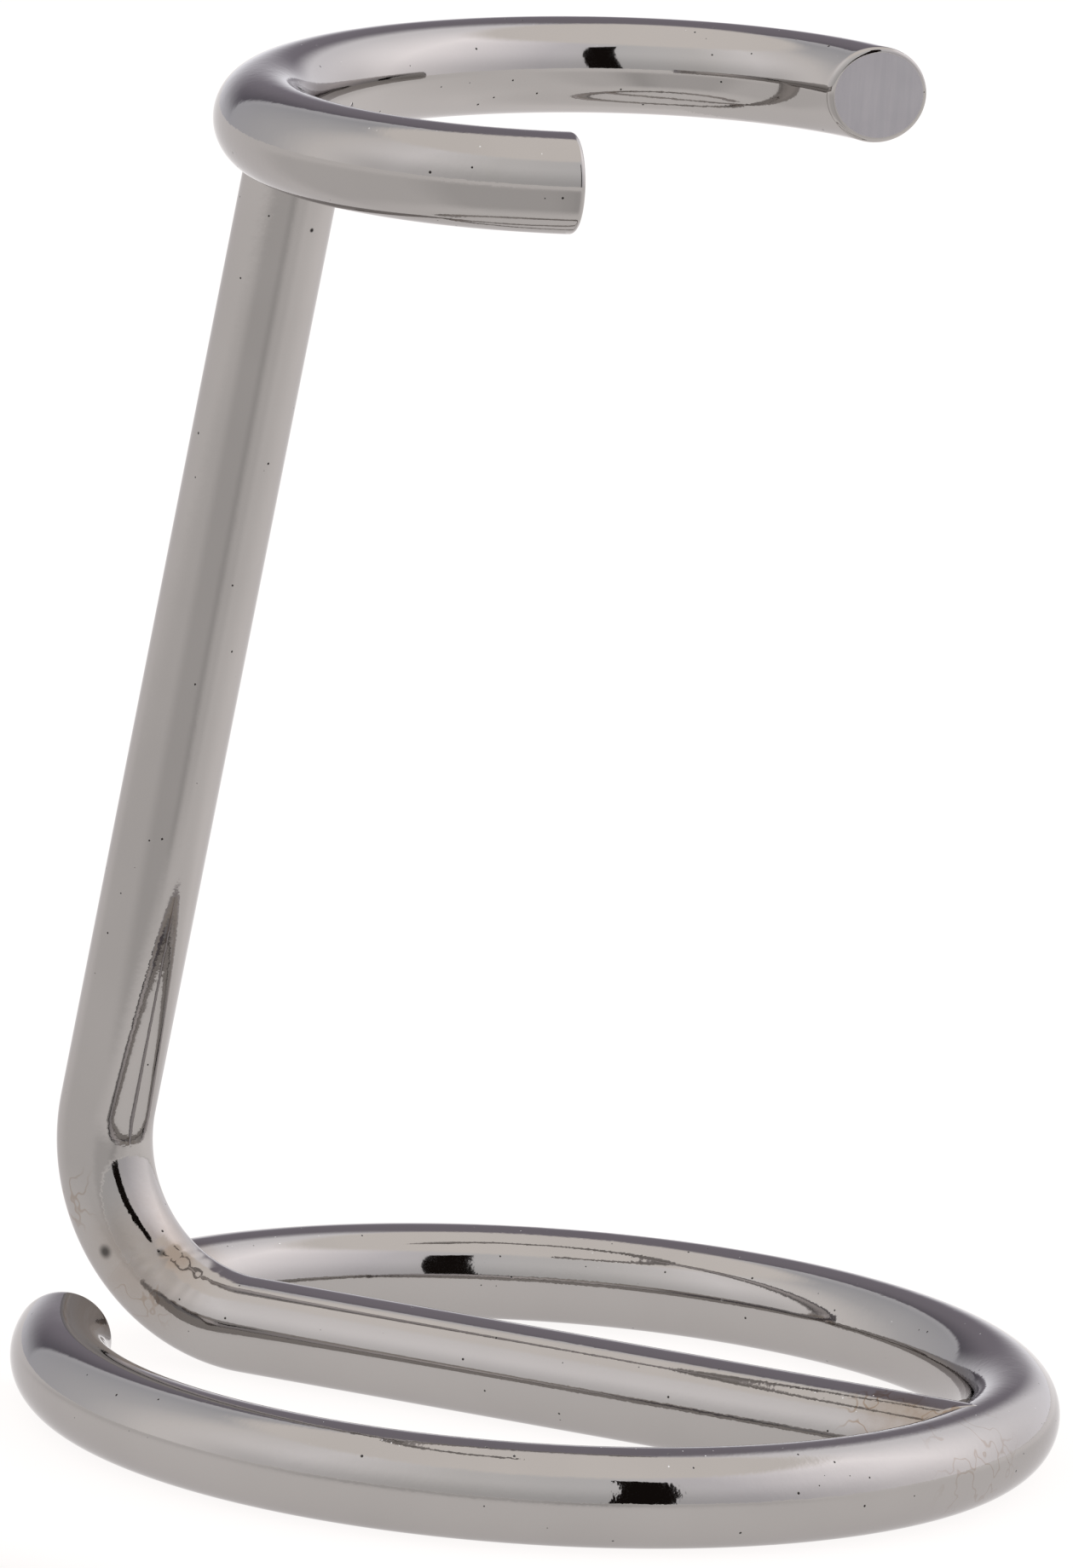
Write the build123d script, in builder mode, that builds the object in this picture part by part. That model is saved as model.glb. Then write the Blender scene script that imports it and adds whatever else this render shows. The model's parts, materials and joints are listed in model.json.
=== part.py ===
from build123d import *
from math import asin, cos, degrees, radians, sin, sqrt, tan
import os

# Open-ring counter stand, bent and welded from solid round chrome-plated steel bar.
#
# One bar is bent into a straight foot and a leaning post. A nearly closed base ring lies round the foot:
# the foot's end is welded to the ring's inner side, and one end of the ring is welded to the back of the
# bend. An open oval top ring is welded on the post's end. Nothing moves and nothing is screwed together.
#
# Millimetres, +Z up. The origin is the centre of the base ring, on the table. +X points along the foot
# and out of the top ring's opening. Angles are degrees round a ring, counter-clockwise from +X.

# Bar stock, the same for all three bent pieces
bar_diameter = 8.0
bar_radius = bar_diameter / 2

# Base ring
base_radius = 39.0          # centreline
base_free_angle = -160.5    # the end that stands free beside the bend
base_welded_angle = 170.0   # the end that is welded to the bend
free_end_round = 1.2

# Foot, bend and post
foot_y = 1.2                # the foot lies a little behind the base ring's diameter
corner_x = -44.1            # where the foot's line and the post's line meet
bend_radius = 14.5          # centreline
post_lean = 8.5             # from the vertical, towards +X

# Top ring, an oval
top_reach = 26.3            # half its centreline's length along X
top_half_width = 31.9       # half its centreline's width along Y
top_height = 107.1          # centreline at the post
top_tilt = 2.0              # the ring's back (+Y) edge is the higher one
top_offset = 1.5            # its middle is this far behind the post
top_back_angle = 66.0       # the opening is between these two ends, as the oval's own angles
top_front_angle = -64.0
back_cut_angle = -48.0      # the way each sawn end faces, in the ring's plane
front_cut_angle = 40.0
cut_round = 0.45
saw_overrun = 5.0           # the bar is bent this much longer than the ring, in degrees, then sawn

# Welds
cope_gap = 0.6              # a bar's end stops this short of the other bar's centreline
bead_radius = 1.0
bead_stations = ((-62, 0.1), (-42, 0.7), (0, 1.0), (42, 0.7), (62, 0.1))  # degrees along it, thickness
plug_end_radius = 3.6       # the base ring's weld narrows to this inside the bend

# Worked out from the dimensions above
post_direction = Vector(sin(radians(post_lean)), 0, cos(radians(post_lean)))
corner = Vector(corner_x, foot_y, bar_radius)
post_length = (top_height - bar_radius) / cos(radians(post_lean))
post_head = corner + post_direction * post_length
foot_head = Vector(sqrt(base_radius**2 - foot_y**2), foot_y, bar_radius)

bend_centre = Vector(
    corner_x + bend_radius / tan(radians(45 - post_lean / 2)),
    foot_y,
    bar_radius + bend_radius,
)

base_frame = Plane(origin=(0, 0, bar_radius), x_dir=(1, 0, 0), z_dir=(0, 0, 1))
post_angle = 180 + degrees(asin(top_offset / top_half_width))  # where the oval crosses the post
top_axis = Vector(0, -sin(radians(top_tilt)), cos(radians(top_tilt)))
top_centre = (
    post_head
    - Vector(top_reach * cos(radians(post_angle)), 0, 0)
    + Vector(0, top_axis.Z, -top_axis.Y) * top_offset
)
top_frame = Plane(origin=top_centre, x_dir=(1, 0, 0), z_dir=top_axis)


def radial(frame, angle):
    """Unit vector that points outwards at this angle round a ring."""
    return frame.x_dir * cos(radians(angle)) + frame.y_dir * sin(radians(angle))


def tangent(frame, angle):
    """Unit vector along a ring's bar at this angle, counter-clockwise."""
    return frame.y_dir * cos(radians(angle)) - frame.x_dir * sin(radians(angle))


def ring_section(frame, angle):
    """Plane across a ring's bar: through the ring's axis, local x outwards, local y along the axis."""
    return Plane(origin=frame.origin, x_dir=radial(frame, angle), z_dir=-tangent(frame, angle))


def oval_middle(angle):
    """Point of the top ring's centreline, at this angle of the oval."""
    along_x = top_frame.x_dir * top_reach * cos(radians(angle))
    along_y = top_frame.y_dir * top_half_width * sin(radians(angle))
    return top_frame.origin + along_x + along_y


def oval_tangent(angle):
    """Unit vector along the top ring's bar at this angle of the oval, counter-clockwise."""
    along_x = top_frame.x_dir * top_reach * sin(radians(angle))
    along_y = top_frame.y_dir * top_half_width * cos(radians(angle))
    return (along_y - along_x).normalized()


def bead_sections(joint, branch, run):
    """Planes and radii along the weld seam on one side of a square tee of two equal bars.

    joint is where the centrelines meet, branch points from it into the bar that ends there, and run
    points along the other bar. The seam is half an ellipse, and the bead is thickest in its middle.
    """
    side = branch.cross(run)
    sections = []
    for turn, thickness in bead_stations:
        reach = bar_radius * cos(radians(turn))
        lift = bar_radius * sin(radians(turn))
        centre = joint + (branch + run) * reach + side * lift
        along = side * reach - (branch + run) * lift
        sections.append((Plane(origin=centre, z_dir=along), thickness * bead_radius))
    return sections


# Top ring: an open oval of bar, with both ends sawn after bending and their edges broken
first_angle = top_back_angle - saw_overrun
with BuildPart() as top_ring:
    with BuildLine(top_frame) as oval_path:
        EllipticalCenterArc(
            (0, 0),
            top_reach,
            top_half_width,
            start_angle=first_angle,
            arc_size=360 + top_front_angle + saw_overrun - first_angle,
        )
    with BuildSketch(Plane(origin=oval_middle(first_angle), z_dir=oval_tangent(first_angle))):
        Circle(bar_radius)
    sweep(path=oval_path.wire())
    for end_angle, cut_angle in (
        (top_back_angle, back_cut_angle),
        (top_front_angle, front_cut_angle),
    ):
        cut = Plane(origin=oval_middle(end_angle), z_dir=radial(top_frame, cut_angle))
        with BuildSketch(cut):
            Rectangle(2 * bar_diameter, 2 * bar_diameter)
        extrude(amount=bar_diameter, mode=Mode.SUBTRACT)
    fillet(top_ring.faces().filter_by(GeomType.PLANE).edges(), cut_round)
top_ring.part.label = "top_ring"

# Base ring: its welded end is cut square, and its free end is rounded over
with BuildPart() as base_ring:
    with BuildSketch(ring_section(base_frame, base_free_angle)):
        with Locations((base_radius, 0)):
            Circle(bar_radius)
    revolve(axis=Axis.Z, revolution_arc=base_welded_angle - base_free_angle)
    free_face = base_ring.faces().filter_by(GeomType.PLANE).sort_by(Axis.Y)[0]
    fillet(free_face.edges(), free_end_round)
base_ring.part.label = "base_ring"

# Post and foot: one bent bar, coped at both ends to fit the round of the rings
post_end = post_head - post_direction * cope_gap
foot_end = foot_head - Vector(cope_gap, 0, 0)
with BuildPart() as post_and_foot:
    with BuildLine() as bar_path:
        FilletPolyline(post_end, corner, foot_end, radius=bend_radius)
    with BuildSketch(Plane(origin=post_end, z_dir=-post_direction)):
        Circle(bar_radius)
    sweep(path=bar_path.wire())
    add(top_ring.part, mode=Mode.SUBTRACT)
    add(base_ring.part, mode=Mode.SUBTRACT)
post_and_foot.part.label = "post_and_foot"

# Top weld: a bead each side of the post, in the corner under the top ring
with BuildPart() as top_weld:
    for run in (oval_tangent(post_angle), -oval_tangent(post_angle)):
        for section, radius in bead_sections(post_head, -post_direction, run):
            with BuildSketch(section):
                Circle(radius)
        loft()
    add(top_ring.part, mode=Mode.SUBTRACT)
    add(post_and_foot.part, mode=Mode.SUBTRACT)
top_weld.part.label = "top_weld"

# Foot weld: a bead each side of the foot, in the corner inside the base ring
with BuildPart() as foot_weld:
    for run in (Vector(0, 1, 0), Vector(0, -1, 0)):
        for section, radius in bead_sections(foot_head, Vector(-1, 0, 0), run):
            with BuildSketch(section):
                Circle(radius)
        loft()
    add(base_ring.part, mode=Mode.SUBTRACT)
    add(post_and_foot.part, mode=Mode.SUBTRACT)
foot_weld.part.label = "foot_weld"

# Base ring weld: it fills the gap between the ring's square end and the side of the bend
ring_end = base_frame.origin + radial(base_frame, base_welded_angle) * base_radius
towards_end = Vector(ring_end.X - bend_centre.X, 0, ring_end.Z - bend_centre.Z).normalized()
with BuildPart() as base_weld:
    with BuildSketch(ring_section(base_frame, base_welded_angle)):
        with Locations((base_radius, 0)):
            Circle(bar_radius)
    with BuildSketch(Plane(origin=bend_centre + towards_end * bend_radius, z_dir=(0, 1, 0))):
        Circle(plug_end_radius)
    loft()
    add(post_and_foot.part, mode=Mode.SUBTRACT)
base_weld.part.label = "base_weld"

os.makedirs("parts", exist_ok=True)
for piece in (top_ring, base_ring, post_and_foot, top_weld, foot_weld, base_weld):
    export_step(piece.part, f"parts/{piece.part.label}.step")
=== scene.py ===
"""Looks of the open-ring counter stand: polished chrome bar on a plain white studio floor.

Every bar is rebuilt as a fine, smooth skin on the line that its CAD node has, because a mirror finish
shows each facet. Metres, +Z up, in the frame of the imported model.
"""

import json
import math

import bpy
from mathutils import Matrix, Vector


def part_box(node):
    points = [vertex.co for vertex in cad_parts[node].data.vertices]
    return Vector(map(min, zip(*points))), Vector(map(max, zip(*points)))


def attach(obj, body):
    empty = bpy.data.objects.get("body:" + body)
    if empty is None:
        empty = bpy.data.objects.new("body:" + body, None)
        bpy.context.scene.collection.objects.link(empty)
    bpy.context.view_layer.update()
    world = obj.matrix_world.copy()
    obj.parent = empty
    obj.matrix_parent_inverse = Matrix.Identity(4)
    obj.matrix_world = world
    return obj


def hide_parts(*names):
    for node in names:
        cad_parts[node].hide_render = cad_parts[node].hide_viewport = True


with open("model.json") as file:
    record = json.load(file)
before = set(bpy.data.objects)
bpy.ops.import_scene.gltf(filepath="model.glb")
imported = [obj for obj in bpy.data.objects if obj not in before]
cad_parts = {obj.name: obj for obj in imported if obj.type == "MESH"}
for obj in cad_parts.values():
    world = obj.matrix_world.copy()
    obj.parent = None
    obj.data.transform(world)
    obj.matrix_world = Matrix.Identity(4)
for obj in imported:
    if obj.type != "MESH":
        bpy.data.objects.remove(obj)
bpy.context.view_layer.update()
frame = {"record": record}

MM = 0.001

# ---------------------------------------------------------------- sizes, from the frame where it has them
base_low, base_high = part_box("base_ring")
top_low, top_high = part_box("top_ring")
post_low, post_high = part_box("post_and_foot")
mounts = {mount["name"]: mount for mount in frame["record"]["mounts"]}

BAR = (base_high.z - base_low.z) / 2                       # radius of the bar
FOOT_Y = (post_low.y + post_high.y) / 2                    # the post and foot lie in this plane
BASE_WELDED_ANGLE = 170.0                                  # degrees round the ring from +X, as in the part
BASE_FREE_ANGLE = -160.5
TOP_BACK_ANGLE = 66.0                                      # the oval's own angles
TOP_FRONT_ANGLE = 296.0
BACK_CUT_ANGLE = -48.0                                     # the way each sawn end faces
FRONT_CUT_ANGLE = 40.0
POST_LEAN = math.radians(8.5)
CORNER_X = -44.1 * MM                                      # where the foot's line and the post's line meet
BEND_RADIUS = 14.5 * MM

CUT_ROUND = 0.45 * MM                                      # broken edge of the sawn ends
FREE_END_ROUND = 1.2 * MM
WELD_WIDTH = 1.0 * MM                                      # a fillet's reach along each bar
WELD_LOBE = math.radians(66)                               # half the length of a fillet round the seam
WELD_TAPER = 0.6                                           # how bluntly its width ends
WELD_RIPPLES = ((0.05, 19, 0), (0.04, 31, 1))              # unevenness of its width: share, waves, phase
WELD_SINK = 0.01 * MM                                      # a fillet's edges lie this deep in the bars
WELD_BACK = 0.05 * MM                                      # and its back this deep behind the seam
WEB_WIDTH = 2.2 * MM                                       # reach of the base weld up the inside of the bend
WEB_SIDE = Vector((0.6, 0, 0.8))                           # the side of the base weld that has the web
PLUG_END_RADIUS = 3.6 * MM                                 # the base weld narrows to this inside the bend
GROUND_BACK = math.radians(3.0)                            # its corner is ground this far back on the ring
CHATTER = 0.022 * MM                                       # depth of the wrinkles inside the bend
CHATTER_MIDDLE = 0.72                                      # where they are, as a share of the bend
CHATTER_REACH = 0.2
CHATTER_WAVES = 96                                         # radians of wave from the bend's start to its end
CHATTER_TURN = math.radians(215)                           # and round the bar, from the bend's outer side

AROUND = 128                                               # points round a bar
STEP = 0.6 * MM                                            # row spacing along a bar
EDGE_STEPS = 8                                             # bands over a rounded edge
FACE_SHARES = (0.97, 0.9, 0.7, 0.45, 0.2)                  # rows on a cut face, as shares of its radius
SEAM_STEPS = 56                                            # bands along a tee's fillet
FILLET_STEPS = 9                                           # bands across it
LEAD_STEPS = 12                                            # bands of the base weld before its fillet
WEB_STEPS = 14                                             # bands across its fillet
SHARP_FROM = math.radians(60)                              # a weld's edge bent more than this stays sharp
NEWTON_STEPS = 8                                           # steps to the nearest point of an oval
JOINT_STEPS = 6                                            # steps to where the post meets the top ring
HALVINGS = 50                                              # steps of a search that halves a range
NARROWINGS = 60                                            # steps of one that takes a third off it
GRAZE = 1e-7                                               # metres; a pass no deeper than this is clear
NUDGE = 0.001                                              # radians, for measuring a slope
CUT_SEARCH = math.radians(20)                              # a cut lies within this of the bar's end


# ---------------------------------------------------------------- centrelines
class Oval:
    """A bar bent into an oval about an axis. Its angles are the oval's own, from +X, in radians."""

    def __init__(self, centre, half_x, half_y, tilt):
        self.centre = centre
        self.half_x = half_x
        self.half_y = half_y
        self.x = Vector((1, 0, 0))
        self.y = Vector((0, math.cos(tilt), math.sin(tilt)))
        self.axis = self.x.cross(self.y)

    def middle(self, angle):
        """Point on the centreline."""
        return self.centre + self.x * self.half_x * math.cos(angle) + self.y * self.half_y * math.sin(angle)

    def away(self, angle):
        """Unit vector from the centreline to the oval's outer side."""
        along = self.y * self.half_y * math.cos(angle) - self.x * self.half_x * math.sin(angle)
        return along.cross(self.axis).normalized()

    def skin(self, angle, turn):
        """Point on the bar's surface; turn goes round the bar from its outer side, up over the top."""
        out = self.away(angle) * math.cos(turn) + self.axis * math.sin(turn)
        return self.middle(angle) + out * BAR

    def direction(self, angle):
        return self.x * math.cos(angle) + self.y * math.sin(angle)

    def nearest(self, point):
        """Nearest point of the centreline, taken as a whole oval."""
        offset = point - self.centre
        u, v = offset.dot(self.x), offset.dot(self.y)
        angle = math.atan2(v / self.half_y, u / self.half_x)
        for _ in range(NEWTON_STEPS):
            c, s = math.cos(angle), math.sin(angle)
            slope = (u - self.half_x * c) * self.half_x * s - (v - self.half_y * s) * self.half_y * c
            bend = u * self.half_x * c + v * self.half_y * s
            bend += (self.half_x**2 - self.half_y**2) * (s * s - c * c)
            angle -= slope / bend
        return self.middle(angle)


half_y = (top_high.y - top_low.y) / 2 - BAR
half_z = (top_high.z - top_low.z) / 2 - BAR
top_ring = Oval(
    Vector((mounts["held_thing"]["pos_m"][0], (top_low.y + top_high.y) / 2, (top_low.z + top_high.z) / 2)),
    mounts["held_thing"]["pos_m"][0] - top_low.x - BAR,
    math.hypot(half_y, half_z),
    math.atan2(half_z, half_y),
)
base_ring = Oval(Vector((0, 0, BAR)), base_high.x - BAR, base_high.x - BAR, 0.0)

POST_DIR = Vector((math.sin(POST_LEAN), 0, math.cos(POST_LEAN)))
FOOT_DIR = Vector((1, 0, 0))
SIDE = Vector((0, 1, 0))
corner = Vector((CORNER_X, FOOT_Y, BAR))
bend_turn = math.pi - (math.pi / 2 - POST_LEAN)            # how far the bar turns between post and foot
bend_setback = BEND_RADIUS * math.tan(bend_turn / 2)
post_start = corner + POST_DIR * bend_setback
foot_start = corner + FOOT_DIR * bend_setback
bend_centre = foot_start + Vector((0, 0, BEND_RADIUS))


def nearest_on_bar(point):
    """Nearest point of the post, bend and foot's centreline."""
    if (point - foot_start).dot(FOOT_DIR) > 0 and point.z < bend_centre.z:
        return foot_start + FOOT_DIR * (point - foot_start).dot(FOOT_DIR)
    if (point - post_start).dot(POST_DIR) > 0:
        return post_start + POST_DIR * (point - post_start).dot(POST_DIR)
    out = point - bend_centre
    out.y = 0
    return bend_centre + out.normalized() * BEND_RADIUS


# ---------------------------------------------------------------- mesh building
def skin_mesh(name, rows, flat_bands=(), materials=(), band_material=None):
    """A mesh through rows of points. Each row goes once round, and a row of one point closes an end.

    Band i lies between rows i and i + 1. flat_bands are shaded flat, and band_material says which
    material slot a band has.
    """
    verts, faces, flat, slots = [], [], [], []
    starts = []
    for row in rows:
        starts.append(len(verts))
        verts.extend(row)
    for i in range(len(rows) - 1):
        a, b = rows[i], rows[i + 1]
        n = max(len(a), len(b))
        for j in range(n):
            k = (j + 1) % n
            if len(a) == 1:
                face = (starts[i], starts[i + 1] + k, starts[i + 1] + j)
            elif len(b) == 1:
                face = (starts[i] + j, starts[i] + k, starts[i + 1])
            else:
                face = (starts[i] + j, starts[i] + k, starts[i + 1] + k, starts[i + 1] + j)
            faces.append(face)
            flat.append(i in flat_bands)
            slots.append(band_material(i) if band_material else 0)
    mesh = bpy.data.meshes.new(name)
    mesh.from_pydata([tuple(v) for v in verts], [], faces)
    mesh.polygons.foreach_set("use_smooth", [not f for f in flat])
    for material in materials:
        mesh.materials.append(material)
    mesh.polygons.foreach_set("material_index", slots)
    mesh.update()
    piece = bpy.data.objects.new(name, mesh)
    bpy.context.scene.collection.objects.link(piece)
    return piece


def turns():
    return [2 * math.pi * j / AROUND for j in range(AROUND)]


def ring_end_rows(ring, end_angle, outwards, cut_angle, rounding):
    """Rows from the bar's side over the rounded edge to the middle of the cut face."""
    end = math.radians(end_angle)
    facing = ring.direction(math.radians(cut_angle))
    middle = ring.middle(end)
    edge = []
    for turn in turns():
        low, high = end - CUT_SEARCH, end + CUT_SEARCH
        for _ in range(HALVINGS):
            angle = (low + high) / 2
            if (ring.skin(angle, turn) - middle).dot(facing) * outwards > 0:
                high = angle
            else:
                low = angle
        speed = (ring.skin(angle + NUDGE, turn) - ring.skin(angle, turn)).length / NUDGE
        edge.append((angle, speed, turn))
    rows = []
    for step in range(EDGE_STEPS + 1):
        t = math.pi / 2 * step / EDGE_STEPS
        row = []
        for angle, speed, turn in edge:
            inwards = (middle - ring.skin(angle, turn)).normalized()
            back = angle - outwards * rounding * (1 - math.sin(t)) / speed
            row.append(ring.skin(back, turn) + inwards * rounding * (1 - math.cos(t)))
        rows.append(row)
    rim = rows[-1]
    for share in FACE_SHARES:
        rows.append([middle + (p - middle) * share for p in rim])
    rows.append([middle])
    first_angles = [angle - outwards * rounding / speed for angle, speed, _ in edge]
    return rows, first_angles


def ring_rows(ring, start_angles, end_angles):
    """Rows along a ring, each generator from its own start to its own end. The ends are left out."""
    arc = abs(end_angles[0] - start_angles[0]) * (ring.half_y + BAR)
    count = max(2, round(arc / STEP))
    rows = []
    for i in range(1, count):
        share = i / count
        rows.append([ring.skin(a + (b - a) * share, turn)
                     for a, b, turn in zip(start_angles, end_angles, turns())])
    return rows


def clear_run(start, direction, reach, other_middle):
    """How far from start, along direction, the surface of the other bar is, up to its closest pass."""
    def gap(s):
        p = start + direction * s
        return (p - other_middle(p)).length - BAR
    low, high = 0.0, reach
    for _ in range(NARROWINGS):
        a, b = low + (high - low) / 3, high - (high - low) / 3
        if gap(a) < gap(b):
            high = b
        else:
            low = a
    closest = (low + high) / 2
    if gap(closest) > -GRAZE:
        return closest
    low, high = 0.0, closest
    for _ in range(HALVINGS):
        middle = (low + high) / 2
        if gap(middle) > 0:
            low = middle
        else:
            high = middle
    return low


def bar_frame(angle):
    """Middle, and direction away from the bend's centre, at this angle through the bend."""
    away = Vector((-math.cos(angle), 0, -math.sin(angle)))
    return bend_centre + away * BEND_RADIUS, away


def around(middle, away, turn, sink=0.0):
    return middle + (away * math.cos(turn) + SIDE * math.sin(turn)) * (BAR - sink)


def chatter(share, turn):
    """Depth of the wrinkles that bending left on the bend's inner side, towards the foot."""
    along = max(0.0, 1 - ((share - CHATTER_MIDDLE) / CHATTER_REACH) ** 2)
    across = max(0.0, math.cos(turn - CHATTER_TURN)) ** 3
    waver = 1.3 * math.sin(share * 31 + turn * 3)
    return CHATTER * along * across * (1 + math.sin(share * CHATTER_WAVES + waver))


# ---------------------------------------------------------------- materials
class Nodes:
    """Short calls for a node tree."""

    def __init__(self, tree):
        self.tree = tree

    def add(self, kind, settings=(), **inputs):
        node = self.tree.nodes.new(kind)
        for key, value in dict(settings).items():
            setattr(node, key, value)
        for key, value in inputs.items():
            self.feed(node.inputs[key.replace("_", " ")], value)
        return node

    def feed(self, socket, value):
        if isinstance(value, bpy.types.NodeSocket):
            self.tree.links.new(value, socket)
        else:
            socket.default_value = value

    def math(self, operation, a, b=0.0):
        node = self.tree.nodes.new("ShaderNodeMath")
        node.operation = operation
        self.feed(node.inputs[0], a)
        self.feed(node.inputs[1], b)
        return node.outputs[0]

    def range(self, value, low, high, to_low=0.0, to_high=1.0):
        """Smooth step from one value to another as value goes from low to high."""
        node = self.add("ShaderNodeMapRange", {"interpolation_type": "SMOOTHSTEP"})
        for index, item in enumerate((value, low, high, to_low, to_high)):
            self.feed(node.inputs[index], item)
        return node.outputs[0]

    def mix(self, share, a, b):
        """Colour a where share is 0, and b where it is 1."""
        node = self.add("ShaderNodeMix", {"data_type": "RGBA"})
        self.feed(node.inputs["Factor"], share)
        for socket, colour in ((node.inputs[6], a), (node.inputs[7], b)):
            self.feed(socket, colour if isinstance(colour, bpy.types.NodeSocket) else (*colour, 1))
        return node.outputs[2]

    def noise(self, place, scale, detail=2.0, roughness=0.5):
        """Noise of about this many waves to the metre."""
        node = self.add("ShaderNodeTexNoise", Vector=place, Scale=scale, Detail=detail, Roughness=roughness)
        return node.outputs["Fac"]

    def specks(self, place, cell, radius, share):
        """1 inside small round specks: one to a cell of this size, in this share of the cells."""
        cells = self.add("ShaderNodeTexVoronoi", Vector=place, Scale=1 / cell)
        hue = self.add("ShaderNodeSeparateColor", Color=cells.outputs["Color"])
        chosen = self.math("LESS_THAN", hue.outputs["Red"], share)
        size = self.math("MULTIPLY", self.range(hue.outputs["Green"], 0.0, 1.0, 0.4, 1.0), radius / cell)
        inside = self.range(self.math("DIVIDE", cells.outputs["Distance"], size), 0.7, 1.1, 1.0, 0.0)
        return self.math("MULTIPLY", inside, chosen)

    def compass(self, vector):
        """Degrees round the stand from the viewing side, degrees from straight behind, and the rise."""
        turned = self.add("ShaderNodeVectorRotate", {"rotation_type": "Z_AXIS"}, Vector=vector)
        turned.inputs["Angle"].default_value = -math.radians(VIEW_AZIMUTH)
        axes = self.add("ShaderNodeSeparateXYZ", Vector=turned.outputs["Vector"])
        towards = self.math("MULTIPLY", axes.outputs["Y"], -1.0)
        ahead = self.math("DEGREES", self.math("ARCTAN2", axes.outputs["X"], towards))
        behind = self.math("DEGREES", self.math("ARCTAN2", axes.outputs["X"], axes.outputs["Y"]))
        return ahead, behind, self.math("DEGREES", self.math("ARCSINE", axes.outputs["Z"]))

    def between(self, value, low, high, soft):
        """1 between two values, with soft edges."""
        up = self.range(value, low - soft, low + soft)
        return self.math("MULTIPLY", up, self.range(value, high - soft, high + soft, 1.0, 0.0))

    def spots(self, place, rows):
        """Soft round spots, each a point, its radius of full strength, its whole radius, its strength."""
        total = 0.0
        for point, inner, outer, strength in rows:
            away = self.add("ShaderNodeVectorMath", {"operation": "DISTANCE"})
            self.feed(away.inputs[0], place)
            away.inputs[1].default_value = point
            spot = self.range(away.outputs["Value"], inner, outer, strength, 0.0)
            total = self.math("MAXIMUM", spot, total)
        return total


VIEW_AZIMUTH = 26.0                                        # the side that the stand is seen from, from -Y

CHROME_COLOUR = (0.39, 0.372, 0.36)
EDGE_TINT = (0.80, 0.79, 0.80)                             # chrome seen at a grazing angle
STAIN_COLOUR = (0.22, 0.15, 0.095)
PIT_COLOUR = (0.03, 0.028, 0.026)
DUST_COLOUR = (0.85, 0.85, 0.86)
SAWN_COLOURS = (0.36, 0.35, 0.37), (0.385, 0.37, 0.39)

# Noise, in waves to the metre
CLOUDS = 55.0                                              # darker and lighter plate
BLOTCHES = 330.0                                           # inside stains, and the outlines of marks
DUST_PATCHES = 40.0
ROUGH_PATCHES = 210.0
LONG_WAVES = 130.0                                         # the plate's ripple: long waves
FINE_WAVES = 1100.0                                        # and fine ones, which come in patches
FINE_PATCHES = 70.0
SAWN_PATCHES = 400.0

CLOUD_SHADE = 0.94
LONG_WAVE_HEIGHT = 1.4                                     # heights are shares of the ripple's
PIT_HEIGHT = -1.5
DUST_COVER = 0.9                                           # the share of a dust speck that isn't metal
DUST_ROUGHNESS = 0.5
STAIN_ROUGHNESS = 0.08
PITS = (1.1 * MM, 0.13 * MM, 0.22)                         # cell, radius, share of the cells
DUST = (0.8 * MM, 0.08 * MM, 0.25)
SAWN_PITS = (2.2 * MM, 0.1 * MM, 0.4)
SAW_MARK_DEPTH = 0.0015 * MM
SAW_MARKS = (2200.0, 2200.0, 120.0)                        # per metre: fine across, long down the face


def new_material(name):
    material = bpy.data.materials.new(name)
    material.use_nodes = True
    nodes = Nodes(material.node_tree)
    place = nodes.add("ShaderNodeTexCoord").outputs["Object"]
    return material, nodes, place, material.node_tree.nodes["Principled BSDF"]


def on_bend(angle, turn):
    """Point on the bend's skin. The angle runs from the post to the foot."""
    middle, away = bar_frame(math.radians(angle))
    return around(middle, away, math.radians(turn))


# Each spot is a point, its radius of full strength, its whole radius, its strength
BURNS = (
    (on_bend(39, -82), 0.15 * MM, 0.85 * MM, 0.85),
    (on_bend(52, -138), 0.1 * MM, 0.5 * MM, 0.7),
    (post_start + POST_DIR * 76 * MM - SIDE * 1.7 * MM + FOOT_DIR * 3.6 * MM, 0.1 * MM, 0.25 * MM, 1.0),
)


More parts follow.
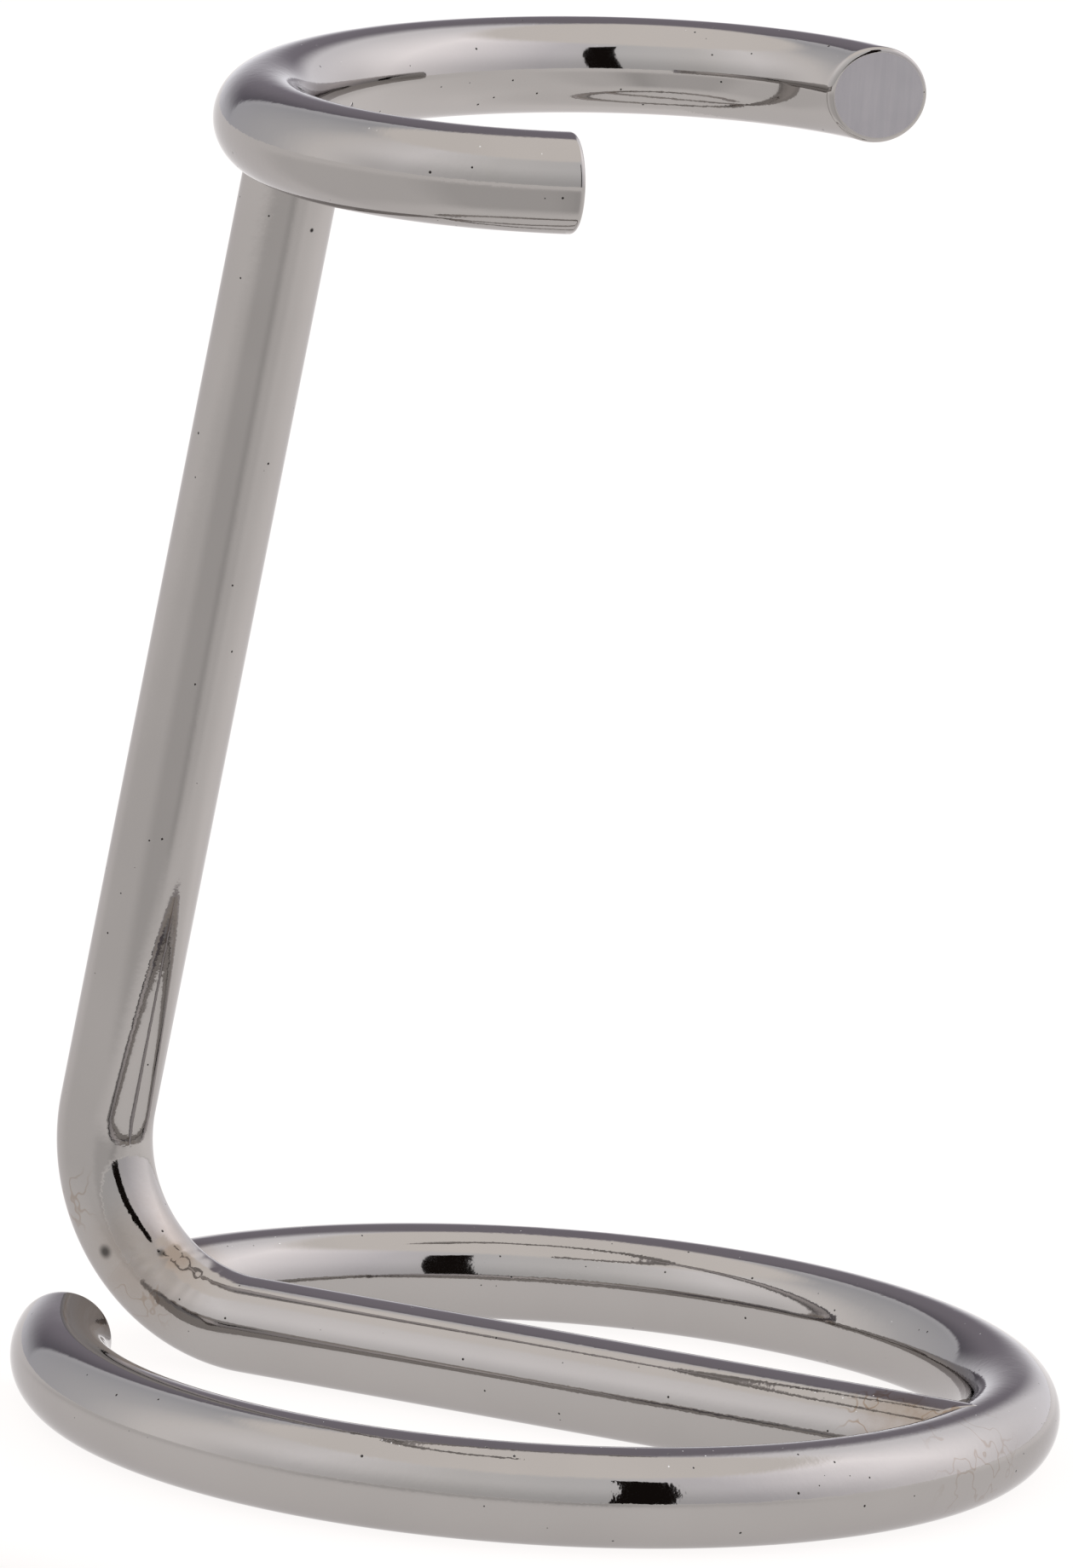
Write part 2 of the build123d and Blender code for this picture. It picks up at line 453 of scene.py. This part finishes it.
def plated(name, roughness, ripple, stains, marks):
    """Polished chrome plate with a fine ripple, pits, and dust on its upper side.

    Stains are brown and mottled, and marks are the dried outlines of drops. ripple is in metres.
    """
    material, nodes, place, shader = new_material(name)
    cloud = nodes.noise(place, CLOUDS, 3.0)
    blotch = nodes.noise(place, BLOTCHES, 4.0, 0.65)
    mottled = nodes.math("MULTIPLY", nodes.spots(place, stains), nodes.range(blotch, 0.3, 0.62, 0.45, 1.0))
    outlines = nodes.between(nodes.noise(place, BLOTCHES, 2.0), 0.475, 0.5, 0.01)
    outlines = nodes.math("MULTIPLY", outlines, nodes.spots(place, marks))
    mottled = nodes.math("MAXIMUM", mottled, outlines)
    pits = nodes.specks(place, *PITS)
    dust = nodes.specks(place, *DUST)
    normal = nodes.add("ShaderNodeSeparateXYZ", Vector=nodes.add("ShaderNodeNewGeometry").outputs["Normal"])
    dust = nodes.math("MULTIPLY", dust, nodes.range(normal.outputs["Z"], 0.3, 0.8))
    dust = nodes.math("MULTIPLY", dust, nodes.range(nodes.noise(place, DUST_PATCHES, 1.0), 0.45, 0.6))

    colour = nodes.mix(nodes.range(cloud, 0.3, 0.7), CHROME_COLOUR, [c * CLOUD_SHADE for c in CHROME_COLOUR])
    colour = nodes.mix(mottled, colour, STAIN_COLOUR)
    colour = nodes.mix(nodes.math("MAXIMUM", pits, nodes.spots(place, BURNS)), colour, PIT_COLOUR)
    nodes.feed(shader.inputs["Base Color"], nodes.mix(dust, colour, DUST_COLOUR))
    cover = nodes.math("MULTIPLY", dust, DUST_COVER)
    nodes.feed(shader.inputs["Metallic"], nodes.math("SUBTRACT", 1.0, cover))
    shader.inputs["Specular Tint"].default_value = (*EDGE_TINT, 1)
    patches = nodes.noise(place, ROUGH_PATCHES, 5.0, 0.7)
    rough = nodes.range(patches, 0.35, 0.75, roughness, roughness * 2.2)
    rough = nodes.math("ADD", rough, nodes.math("MULTIPLY", mottled, STAIN_ROUGHNESS))
    rough = nodes.math("ADD", rough, nodes.math("MULTIPLY", dust, DUST_ROUGHNESS))
    nodes.feed(shader.inputs["Roughness"], rough)

    wave = nodes.math("MULTIPLY", nodes.noise(place, LONG_WAVES, 1.0), LONG_WAVE_HEIGHT)
    uneven = nodes.range(nodes.noise(place, FINE_PATCHES, 1.0), 0.4, 0.65, 0.25, 1.0)
    fine = nodes.math("MULTIPLY", nodes.noise(place, FINE_WAVES, 2.5, 0.6), uneven)
    height = nodes.math("ADD", nodes.math("ADD", wave, fine), nodes.math("MULTIPLY", pits, PIT_HEIGHT))
    bump = nodes.add("ShaderNodeBump", Strength=1.0, Distance=ripple, Height=height)
    nodes.feed(shader.inputs["Normal"], bump.outputs["Normal"])
    return material


def sawn(name):
    """Sawn and plated end face: matt, with faint straight saw marks across it."""
    material, nodes, place, shader = new_material(name)
    marks = nodes.add("ShaderNodeVectorMath", {"operation": "MULTIPLY"})
    nodes.feed(marks.inputs[0], place)
    marks.inputs[1].default_value = SAW_MARKS
    lines = nodes.noise(marks.outputs["Vector"], 1.0, 3.0, 0.6)
    cloud = nodes.noise(place, SAWN_PATCHES, 3.0)
    colour = nodes.mix(nodes.range(lines, 0.3, 0.7), *SAWN_COLOURS)
    colour = nodes.mix(nodes.specks(place, *SAWN_PITS), colour, PIT_COLOUR)
    nodes.feed(shader.inputs["Base Color"], colour)
    shader.inputs["Metallic"].default_value = 1.0
    nodes.feed(shader.inputs["Roughness"], nodes.range(cloud, 0.3, 0.7, 0.3, 0.42))
    bump = nodes.add("ShaderNodeBump", Strength=1.0, Distance=SAW_MARK_DEPTH, Height=lines)
    nodes.feed(shader.inputs["Normal"], bump.outputs["Normal"])
    return material


foot_top = Vector((base_high.x - 9 * MM, FOOT_Y - 3.2 * MM, BAR + 2.7 * MM))
ring_side = base_ring.skin(math.radians(-7), math.radians(30))
welded_end = base_ring.skin(math.radians(BASE_WELDED_ANGLE), math.radians(120))
stains = (
    (on_bend(50, -126), 1.5 * MM, 8.0 * MM, 0.32),
    (on_bend(57, -150), 0.5 * MM, 3.0 * MM, 0.55),
    (foot_top, 0.5 * MM, 5.5 * MM, 0.65),
    (welded_end, 1.0 * MM, 6.0 * MM, 0.4),
)
marks = (
    (foot_top, 3.5 * MM, 6.5 * MM, 0.7),
    (ring_side, 2.0 * MM, 8.0 * MM, 0.35),
    (on_bend(56, -90), 1.0 * MM, 5.0 * MM, 0.5),
    (on_bend(20, -60), 1.0 * MM, 4.0 * MM, 0.4),
)
chrome = plated("chrome", 0.035, 0.014 * MM, stains, marks)
weld = plated("weld", 0.055, 0.025 * MM, stains, marks)
cut_face = sawn("sawn_end")


# ---------------------------------------------------------------- pieces
def make_top_ring():
    back_rows, back_angles = ring_end_rows(top_ring, TOP_BACK_ANGLE, -1, BACK_CUT_ANGLE, CUT_ROUND)
    front_rows, front_angles = ring_end_rows(top_ring, TOP_FRONT_ANGLE, 1, FRONT_CUT_ANGLE, CUT_ROUND)
    rows = back_rows[::-1] + ring_rows(top_ring, back_angles, front_angles) + front_rows
    cap = len(back_rows) - (EDGE_STEPS + 1)
    last = len(rows) - 1 - cap

    def slot_of(band):
        return 1 if band < cap or band >= last else 0
    return skin_mesh("top_ring_bar", rows, materials=(chrome, cut_face), band_material=slot_of)


def make_base_ring():
    facing_back = BASE_FREE_ANGLE - 90
    free_rows, free_angles = ring_end_rows(base_ring, BASE_FREE_ANGLE, -1, facing_back, FREE_END_ROUND)
    last = math.radians(BASE_WELDED_ANGLE) - GROUND_BACK
    end_row = [base_ring.skin(last, turn) for turn in turns()]
    rows = free_rows[::-1] + ring_rows(base_ring, free_angles, [last] * AROUND)
    rows += [end_row, [base_ring.middle(last)]]
    return skin_mesh("base_ring_bar", rows, flat_bands=(len(rows) - 2,), materials=(chrome,))


def make_post_and_foot():
    _, post_away = bar_frame(-POST_LEAN)
    post_runs, foot_runs = [], []
    for turn in turns():
        start = around(post_start, post_away, turn)
        post_runs.append(clear_run(start, POST_DIR, top_high.z, top_ring.nearest))
        start = around(foot_start, Vector((0, 0, -1)), turn)
        foot_runs.append(clear_run(start, FOOT_DIR, 2 * base_high.x, base_ring.nearest))
    rows = [[top_ring.nearest(post_start + POST_DIR * max(post_runs))]]
    count = round(max(post_runs) / STEP)
    for i in range(count, 0, -1):
        rows.append([around(post_start, post_away, turn) + POST_DIR * run * i / count
                     for turn, run in zip(turns(), post_runs)])
    count = 2 * round(bend_turn * (BEND_RADIUS + BAR) / STEP)
    for i in range(count + 1):
        middle, away = bar_frame(-POST_LEAN + bend_turn * i / count)
        rows.append([around(middle, away, turn, chatter(i / count, turn)) for turn in turns()])
    count = round(max(foot_runs) / STEP)
    for i in range(1, count + 1):
        rows.append([around(foot_start, Vector((0, 0, -1)), turn) + FOOT_DIR * run * i / count
                     for turn, run in zip(turns(), foot_runs)])
    rows.append([base_ring.nearest(foot_start + FOOT_DIR * max(foot_runs))])
    return skin_mesh("post_and_foot_bar", rows, flat_bands=(0, len(rows) - 2), materials=(chrome,))


def onto(point, nearest):
    """The point moved straight onto the skin of the bar with this centreline."""
    middle = nearest(point)
    return middle + (point - middle).normalized() * BAR


def curve_between(start, control, end, count):
    """Points on a smooth curve that leaves start and reaches end in line with the control point."""
    points = []
    for i in range(count + 1):
        t = i / count
        points.append(start * (1 - t)**2 + control * (2 * t * (1 - t)) + end * t**2)
    return points


def tee_weld(name, joint, branch, ring, run):
    """One fillet in the corner of a square tee, on the side that run points to.

    joint is where the centrelines meet, and branch points from it into the bar that ends there.
    """
    side = branch.cross(run)
    rows = []
    for i in range(SEAM_STEPS + 1):
        turn = WELD_LOBE * (2 * i / SEAM_STEPS - 1)
        out = run * math.cos(turn) + side * math.sin(turn)
        start = joint + out * BAR + branch * 3 * BAR
        seam = start - branch * clear_run(start, -branch, 3 * BAR, ring.nearest)
        if i in (0, SEAM_STEPS):
            rows.append([seam])
            continue
        width = WELD_WIDTH * math.cos(turn / WELD_LOBE * math.pi / 2)**WELD_TAPER
        width *= 1 + sum(share * math.sin(turn * waves + phase) for share, waves, phase in WELD_RIPPLES)
        inside = (joint - seam).normalized()
        low = seam + branch * width - out * WELD_SINK
        high = onto(seam + out * width, ring.nearest) + inside * WELD_SINK
        rows.append(curve_between(low, seam, high, FILLET_STEPS) + [seam + inside * WELD_BACK])
    return skin_mesh(name, rows, materials=(weld,))


def make_base_weld():
    """The base ring's end drawn in to the side of the bend, with a web up the bend's inner side."""
    welded = math.radians(BASE_WELDED_ANGLE)
    root = base_ring.middle(welded)
    away = Vector((root.x - bend_centre.x, 0, root.z - bend_centre.z)).normalized()
    target = bend_centre + away * BEND_RADIUS
    lines = []
    for turn in turns():
        start = base_ring.skin(welded, turn)
        out = (start - root).normalized()
        end = target + Vector((-math.cos(turn), 0, math.sin(turn))) * PLUG_END_RADIUS
        direction = (end - start).normalized()
        run = clear_run(start, direction, (end - start).length, nearest_on_bar)
        contact = start + direction * run
        width = WELD_WIDTH + (WEB_WIDTH - WELD_WIDTH) * max(0.0, out.dot(WEB_SIDE))**2
        low = contact - direction * min(width, 0.9 * run)
        high = onto(contact + out * width, nearest_on_bar)
        lead = curve_between(base_ring.skin(welded - GROUND_BACK, turn), start, low, LEAD_STEPS)
        lines.append(lead[:-1] + curve_between(low, contact, high, WEB_STEPS))
    rows = [[base_ring.middle(welded - GROUND_BACK)]] + [list(row) for row in zip(*lines)] + [[target]]
    return skin_mesh("base_weld_fillet", rows, materials=(weld,))


def finish_piece(piece, nodes):
    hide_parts(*nodes)
    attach(piece, "root")


def find_post_joint():
    """Where the post's line meets the top ring's centreline."""
    joint = top_ring.nearest(post_start + POST_DIR * (top_low.z - post_start.z))
    for _ in range(JOINT_STEPS):
        joint = top_ring.nearest(post_start + POST_DIR * (joint - post_start).dot(POST_DIR))
    return joint


finish_piece(make_top_ring(), ["top_ring"])
finish_piece(make_base_ring(), ["base_ring"])
finish_piece(make_post_and_foot(), ["post_and_foot"])

post_joint = find_post_joint()
foot_joint = base_ring.nearest(foot_start + FOOT_DIR * base_high.x)
post_run = (post_joint - top_ring.centre).cross(top_ring.axis).normalized()
tees = (
    ("top_weld", post_joint, -POST_DIR, top_ring, post_run),
    ("foot_weld", foot_joint, -FOOT_DIR, base_ring, SIDE),
)
for node, joint, branch, ring, run in tees:
    for number, direction in enumerate((run, -run)):
        bead = tee_weld(f"{node}_fillet_{number + 1}", joint, branch, ring, direction)
        bead.data.set_sharp_from_angle(angle=SHARP_FROM)
        finish_piece(bead, [node])
base_bead = make_base_weld()
base_bead.data.set_sharp_from_angle(angle=SHARP_FROM)
finish_piece(base_bead, ["base_weld"])

# ---------------------------------------------------------------- floor: it glows, with painted shade in sectors round the stand
FLOOR = 6.0                                                # metres from the middle to a side
# The floor glows though it is no lamp: painted light that keeps it white and all but hides the stand's
# shadow
FLOOR_GLOW = 0.92
FLOOR_PAINT = (0.12, 0.12, 0.12)
FLOOR_TINT = (1.0, 0.975, 0.965)
# Sectors of painted shade in the floor's glow: from and to, in degrees from the viewing side, softness,
# depth
FLOOR_PAINTED_SHADES = (
    (-115, 50, 12, 0.13),
    (-42, 22, 12, 0.15),
    (5, 18, 8, 0.10),
)
PAINTED_LIGHT_SIDE = (60, 140)                                       # beyond these degrees it is lighter again, with painted light
PAINTED_LIGHT_BY = 0.18
SHADE_NEAR = (0.055, 0.1)                                  # metres from the middle, where they fade in
SHADE_FAR = (0.4, 0.95)                                    # and out
floor_mesh = bpy.data.meshes.new("floor")
corners = [(-FLOOR, -FLOOR, 0), (FLOOR, -FLOOR, 0), (FLOOR, FLOOR, 0), (-FLOOR, FLOOR, 0)]
floor_mesh.from_pydata(corners, [], [(0, 1, 2, 3)])
floor = bpy.data.objects.new("floor", floor_mesh)
bpy.context.scene.collection.objects.link(floor)
floor_glow_and_painted_shade, paint, place, shader = new_material("floor_glow_and_painted_shade")
ahead, _, _ = paint.compass(place)
distance = paint.add("ShaderNodeVectorMath", {"operation": "LENGTH"})
paint.feed(distance.inputs[0], place)
painted_shade = 0.0
for low, high, soft, depth in FLOOR_PAINTED_SHADES:
    painted_shade = paint.math("ADD", painted_shade, paint.math("MULTIPLY", paint.between(ahead, low, high, soft), depth))
painted_shade = paint.math("SUBTRACT", painted_shade, paint.math("MULTIPLY", paint.range(ahead, *PAINTED_LIGHT_SIDE), PAINTED_LIGHT_BY))
painted_shade = paint.math("MULTIPLY", painted_shade, paint.range(distance.outputs["Value"], *SHADE_NEAR))
painted_shade = paint.math("MULTIPLY", painted_shade, paint.range(distance.outputs["Value"], *SHADE_FAR, 1.0, 0.0))
shader.inputs["Base Color"].default_value = (*FLOOR_PAINT, 1)
shader.inputs["Roughness"].default_value = 1.0
shader.inputs["Specular IOR Level"].default_value = 0.0
shader.inputs["Emission Color"].default_value = (*FLOOR_TINT, 1)
# the painted shade is taken off the floor's glow
paint.feed(shader.inputs["Emission Strength"], paint.math("SUBTRACT", FLOOR_GLOW, painted_shade))
floor_mesh.materials.append(floor_glow_and_painted_shade)

# ---------------------------------------------------------------- studio: soft walls of light, by direction
WALLS = (                                                  # degrees from the viewing side, light
    (-180, (1.20, 1.20, 1.25)),
    (-146, (0.74, 0.75, 0.80)),
    (-115, (0.90, 0.90, 0.93)),
    (-92, (1.20, 1.17, 1.16)),
    (-55, (1.38, 1.36, 1.38)),
    (-20, (1.12, 1.11, 1.11)),
    (20, (1.05, 1.05, 1.07)),
    (50, (1.16, 1.14, 1.20)),
    (112, (1.95, 1.90, 1.95)),
    (152, (1.40, 1.39, 1.44)),
    (180, (1.20, 1.20, 1.25)),
)
TOP_LIGHT = (1.25, 1.20, 1.16)
TOP_FROM = (52, 60)                                        # rise where the walls give way to it, in degrees
LOW_DIMMING = 0.27                                         # how much light the walls lose at the floor
LOW_TO = 38                                                # rise where they have it all
LOW_SIDES = (-75, 140, 15)                                 # the walls that lose some: from, to, softness
DUSK_INNER = (0.36, 0.335, 0.385)                          # light of a dim stretch behind the stand
DUSK_OUTER = (0.19, 0.18, 0.215)                           # and at its left edge
DUSK_LEFT = (-37, -33.5)                                   # its edges, in degrees from straight behind
DUSK_RIGHT = (8, 22)
DUSK_LEAN = 0.3                                            # the left one leans by this much a degree of rise
DUSK_FADE = (-34, -8)                                      # between these its left edge's light gives way
DUSK_RISE = (0, 17)                                        # where it fades in, upwards
SLOT = (16.6, 31.0)                                        # a dark gap in the walls: its sides, in degrees
SLOT_LEAN = 0.135                                          # they lean by this much a degree of rise
SLOT_RISE = (-8.0, 49.5)                                   # its foot and its top
SLOT_DROP = 0.3                                            # both fall by this much a degree round
SLOT_DROP_FROM = 30.0                                      # from here
SLOT_SOFT = (0.25, 0.3)                                    # softness of its sides, and of its foot and top
SLOT_LIGHT = (0.012, 0.009, 0.008)
world = bpy.data.worlds.new("studio")
bpy.context.scene.world = world
world.use_nodes = True
sky = Nodes(world.node_tree)
ahead, behind, rise = sky.compass(sky.add("ShaderNodeTexCoord").outputs["Generated"])
walls = sky.add("ShaderNodeValToRGB", Fac=sky.math("DIVIDE", sky.math("ADD", ahead, 180.0), 360.0))
stops = walls.color_ramp.elements
while len(stops) < len(WALLS):
    stops.new(0.5)
for stop, (angle, _) in zip(stops, WALLS):
    stop.position = (angle + 180) / 360
for stop, (_, colour) in zip(stops, WALLS):
    stop.color = (*colour, 1)
facing = sky.between(ahead, *LOW_SIDES)
low_light = sky.math("MULTIPLY", sky.range(rise, 0, LOW_TO, LOW_DIMMING, 0.0), facing)
light = sky.mix(low_light, walls.outputs["Color"], (0.0, 0.0, 0.0))
left_edge = sky.math("SUBTRACT", behind, sky.math("MULTIPLY", rise, DUSK_LEAN))
dusk = sky.math("MULTIPLY", sky.range(left_edge, *DUSK_LEFT), sky.range(behind, *DUSK_RIGHT, 1.0, 0.0))
dusk = sky.math("MULTIPLY", dusk, sky.range(rise, *DUSK_RISE))
dusk_light = sky.mix(sky.range(behind, *DUSK_FADE, 1.0, 0.0), DUSK_INNER, DUSK_OUTER)
light = sky.mix(dusk, light, dusk_light)
light = sky.mix(sky.range(rise, *TOP_FROM), light, TOP_LIGHT)
lean = sky.math("SUBTRACT", ahead, sky.math("MULTIPLY", rise, SLOT_LEAN))
drop = sky.math("ADD", rise, sky.math("MULTIPLY", sky.math("SUBTRACT", ahead, SLOT_DROP_FROM), SLOT_DROP))
across, upright = sky.between(lean, *SLOT, SLOT_SOFT[0]), sky.between(drop, *SLOT_RISE, SLOT_SOFT[1])
slot = sky.math("MULTIPLY", across, upright)
light = sky.mix(slot, light, SLOT_LIGHT)
sky.feed(world.node_tree.nodes["Background"].inputs["Color"], light)
world.node_tree.nodes["Background"].inputs["Strength"].default_value = 1.0
bpy.context.scene.view_settings.view_transform = "Standard"

# ---------------------------------------------------------------- camera
camera_data = bpy.data.cameras.new("camera")
camera = bpy.data.objects.new("camera", camera_data)
bpy.context.scene.collection.objects.link(camera)
EYE = Vector((413.562, -855.025, 228.079)) * MM
AZIMUTH, ELEVATION, ROLL = math.radians(25.998), math.radians(10.42), math.radians(3.746)
back = Vector((
    math.sin(AZIMUTH) * math.cos(ELEVATION),
    -math.cos(AZIMUTH) * math.cos(ELEVATION),
    math.sin(ELEVATION),
))
right = (-back).cross(Vector((0, 0, 1))).normalized()
up = right.cross(-back)
cam_right = right * math.cos(ROLL) + up * math.sin(ROLL)
cam_up = up * math.cos(ROLL) - right * math.sin(ROLL)
tilted = Matrix((cam_right, cam_up, back)).transposed().to_4x4()
camera.matrix_world = Matrix.Translation(EYE) @ tilted
camera_data.lens = 273.698
camera_data.sensor_width = 36
camera_data.clip_start = 0.05
camera_data.clip_end = 20
bpy.context.scene.camera = camera
